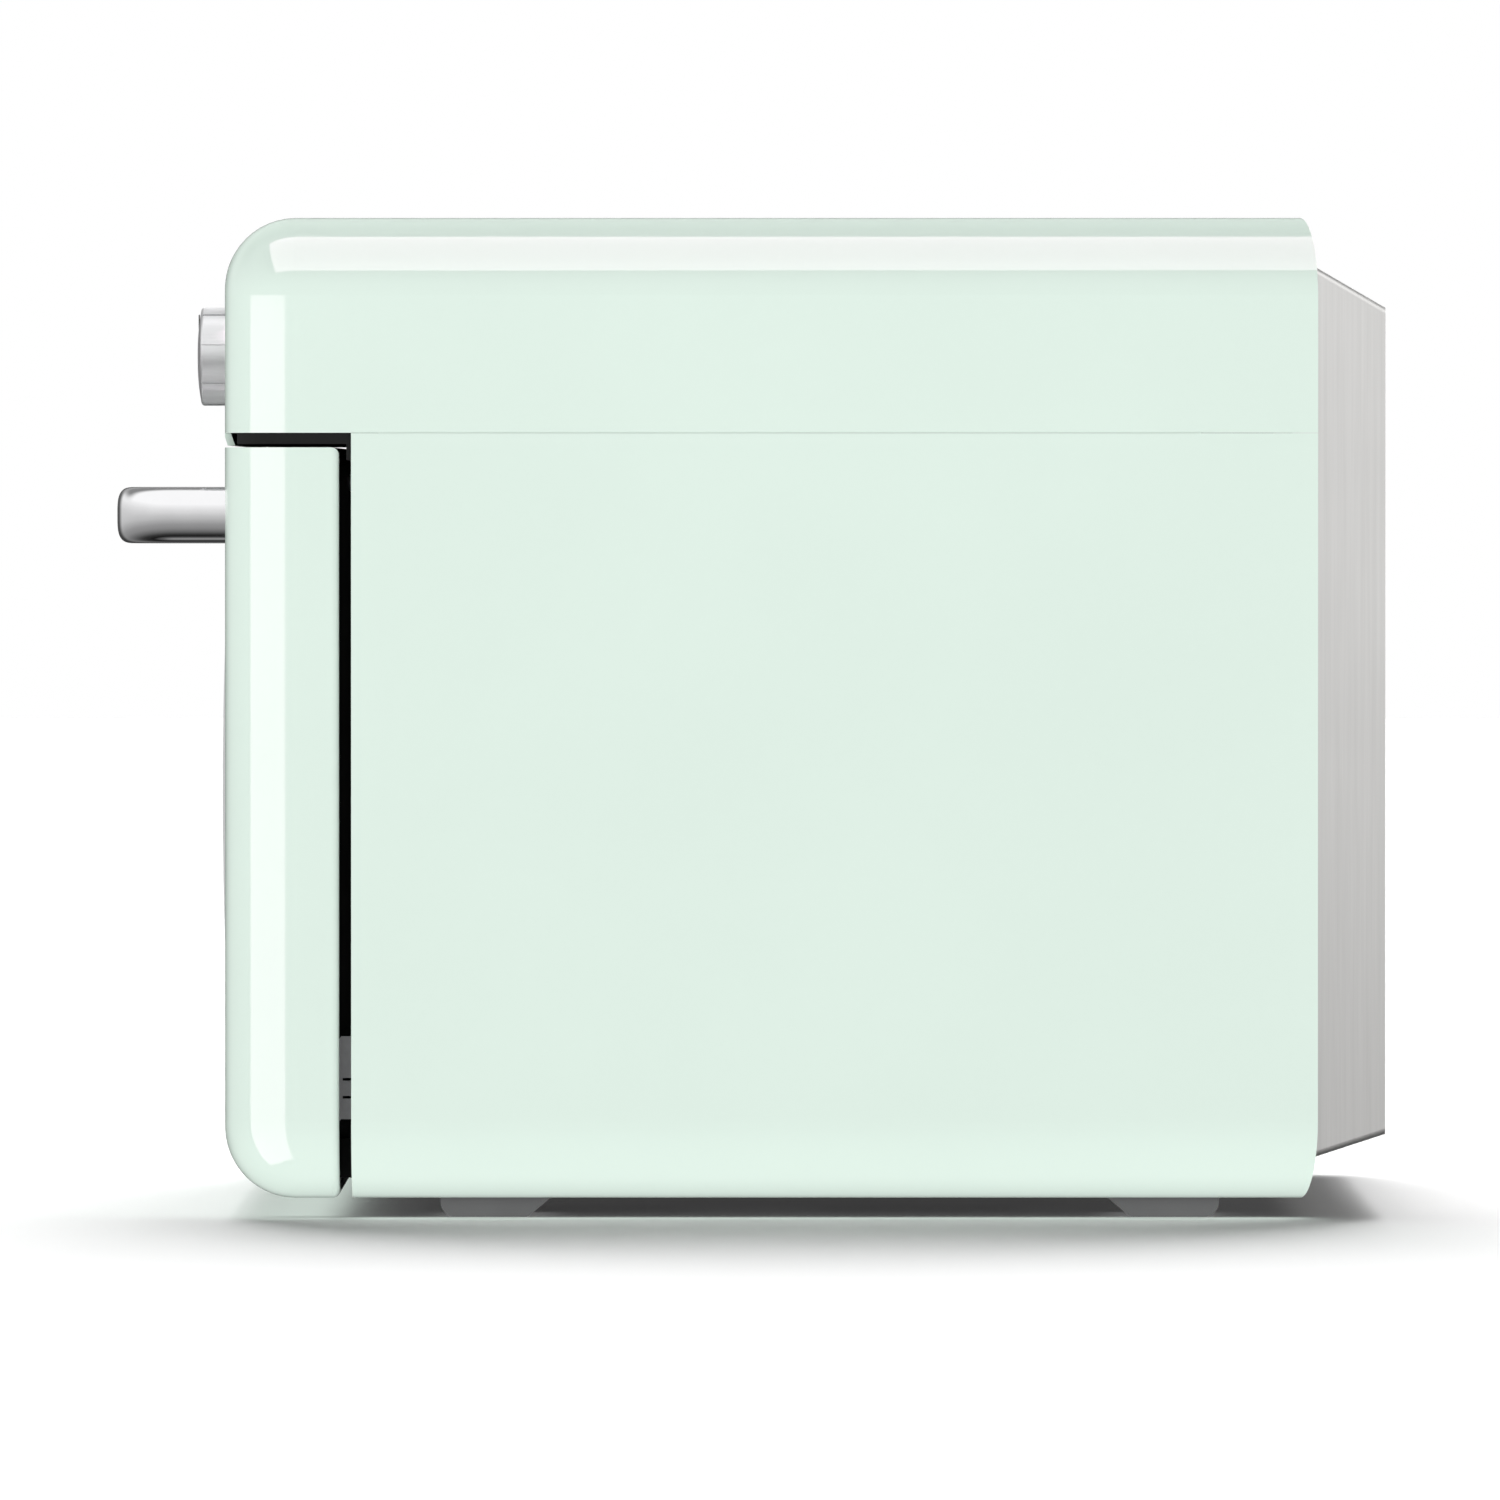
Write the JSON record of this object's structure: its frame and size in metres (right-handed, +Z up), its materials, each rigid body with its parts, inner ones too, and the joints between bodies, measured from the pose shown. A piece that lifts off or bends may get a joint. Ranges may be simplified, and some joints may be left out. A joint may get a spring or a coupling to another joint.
{
  "type": "microwave oven",
  "caption": "Countertop combination microwave oven with rounded painted case, drop-down door with bar handle, control knobs, glass turntable and steel rear cover.",
  "frame": {"origin": "on the surface under the feet, at the middle of the oven's box in width and depth, handle and rear cover included", "axes": "+X to the right seen from the front, +Y to the back, +Z up"},
  "size_m": [0.498, 0.4584, 0.36],
  "materials": {
    "mint_paint": "gloss",
    "chrome": "polished",
    "satin_metal": "satin",
    "brushed_cover": "brushed",
    "stainless": "satin",
    "galvanised": "satin",
    "black_enamel": "satin",
    "black_plastic": "matte",
    "dark_rubber": "matte",
    "glass_dark": "gloss",
    "glass_clear": "gloss",
    "display": "gloss",
    "board": "matte",
    "aluminium": "satin",
    "white_plastic": "matte",
    "mica": "matte",
    "heater": "satin",
    "button": "polished",
    "motor_steel": "satin"
  },
  "bodies": {
    "case": {"back_plate": "galvanised", "base_plate": "black_enamel", "cable_gland": "black_plastic", "case_screws": "galvanised", "cavity_back": "stainless", "cavity_floor": "stainless", "cavity_lamp": "white_plastic", "cavity_wrap": "stainless", "control_board": "board", "convection_element": "heater", "convection_housing": "stainless", "convection_motor": "motor_steel", "cooling_fan_frame": "black_plastic", "display_window": "display", "door_switches": "black_plastic", "encoders": "black_plastic", "feet": "dark_rubber", "frame_screws": "galvanised", "front_frame": "black_enamel", "grill_element": "heater", "heatsink": "aluminium", "hinge_arm_left": "galvanised", "hinge_arm_right": "galvanised", "inverter_board": "board", "latch_boards": "black_plastic", "magnetron": "aluminium", "panel_closure": "black_plastic", "rear_cover": "brushed_cover", "side_panel_left": "mint_paint", "side_panel_right": "mint_paint", "top_hood": "mint_paint", "turntable_motor": "motor_steel", "waveguide": "galvanised", "waveguide_cover": "mica"},
    "door": {"door_shell": "mint_paint", "window_trim": "chrome", "window_glass": "glass_dark", "door_choke_panel": "galvanised", "choke_cover": "black_plastic", "inner_glass": "glass_clear", "handle": "chrome", "handle_screws": "galvanised", "badge_strip": "chrome", "hinge_pins": "galvanised"},
    "latch_left": {"latch_hook_left": "black_plastic"},
    "latch_right": {"latch_hook_right": "black_plastic"},
    "knob_left": {"knob_left": "satin_metal", "knob_shaft_left": "aluminium"},
    "knob_right": {"knob_right": "satin_metal", "knob_shaft_right": "aluminium"},
    "start_button": {"start_button": "button"},
    "stop_button": {"stop_button": "button"},
    "turntable": {"turntable_tray": "glass_clear", "turntable_coupler": "black_plastic"},
    "roller_ring": {"roller_ring": "white_plastic"},
    "roller_1": {"ring_roller_1": "white_plastic"},
    "roller_2": {"ring_roller_2": "white_plastic"},
    "roller_3": {"ring_roller_3": "white_plastic"},
    "convection_fan": {"convection_fan": "aluminium"},
    "cooling_fan": {"cooling_fan": "black_plastic"}
  },
  "joints": [
    {"name": "door_hinge", "type": "hinge", "parent": "case", "child": "door", "pos_m": [0, -0.17, 0.021], "axis": [1, 0, 0], "range_deg": [0, 78]},
    {"name": "latch_left_pivot", "type": "hinge", "parent": "door", "child": "latch_left", "pos_m": [-0.15, -0.158, 0.264], "axis": [1, 0, 0], "range_deg": [0, 6], "stiffness_Nm_per_rad": 0.2, "springref_deg": -5.73},
    {"name": "latch_right_pivot", "type": "hinge", "parent": "door", "child": "latch_right", "pos_m": [0.15, -0.158, 0.264], "axis": [1, 0, 0], "range_deg": [0, 6], "stiffness_Nm_per_rad": 0.2, "springref_deg": -5.73},
    {"name": "knob_left_turn", "type": "hinge", "parent": "case", "child": "knob_left", "pos_m": [-0.165, -0.195, 0.3105], "axis": [0, 1, 0], "continuous": true},
    {"name": "knob_right_turn", "type": "hinge", "parent": "case", "child": "knob_right", "pos_m": [0.165, -0.195, 0.3105], "axis": [0, 1, 0], "continuous": true},
    {"name": "start_press", "type": "slide", "parent": "case", "child": "start_button", "axis": [0, 1, 0], "range_m": [0, 0.0012], "stiffness_N_per_m": 800},
    {"name": "stop_press", "type": "slide", "parent": "case", "child": "stop_button", "axis": [0, 1, 0], "range_m": [0, 0.0012], "stiffness_N_per_m": 800},
    {"name": "turntable_spin", "type": "hinge", "parent": "case", "child": "turntable", "pos_m": [0, 0.0191, 0.05], "axis": [0, 0, 1], "continuous": true},
    {"name": "roller_ring_spin", "type": "hinge", "parent": "case", "child": "roller_ring", "pos_m": [0, 0.0191, 0.0513], "axis": [0, 0, 1], "continuous": true},
    {"name": "roller_1_spin", "type": "hinge", "parent": "roller_ring", "child": "roller_1", "pos_m": [0.0879, 0.06985, 0.0513], "axis": [0.866, 0.5, 0], "continuous": true},
    {"name": "roller_2_spin", "type": "hinge", "parent": "roller_ring", "child": "roller_2", "pos_m": [-0.0879, 0.06985, 0.0513], "axis": [-0.866, 0.5, 0], "continuous": true},
    {"name": "roller_3_spin", "type": "hinge", "parent": "roller_ring", "child": "roller_3", "pos_m": [0, -0.0824, 0.0513], "axis": [0, -1, 0], "continuous": true},
    {"name": "convection_fan_spin", "type": "hinge", "parent": "case", "child": "convection_fan", "pos_m": [0, 0.2, 0.148], "axis": [0, 1, 0], "continuous": true},
    {"name": "cooling_fan_spin", "type": "hinge", "parent": "case", "child": "cooling_fan", "pos_m": [0.13, 0.175, 0.306], "axis": [0, 1, 0], "continuous": true}
  ],
  "couplings": [
    {"joint": "roller_ring_spin", "follows": "turntable_spin", "ratio": 0.5},
    {"joint": "roller_1_spin", "follows": "turntable_spin", "ratio": -6.3438},
    {"joint": "roller_2_spin", "follows": "turntable_spin", "ratio": -6.3438},
    {"joint": "roller_3_spin", "follows": "turntable_spin", "ratio": -6.3438}
  ]
}
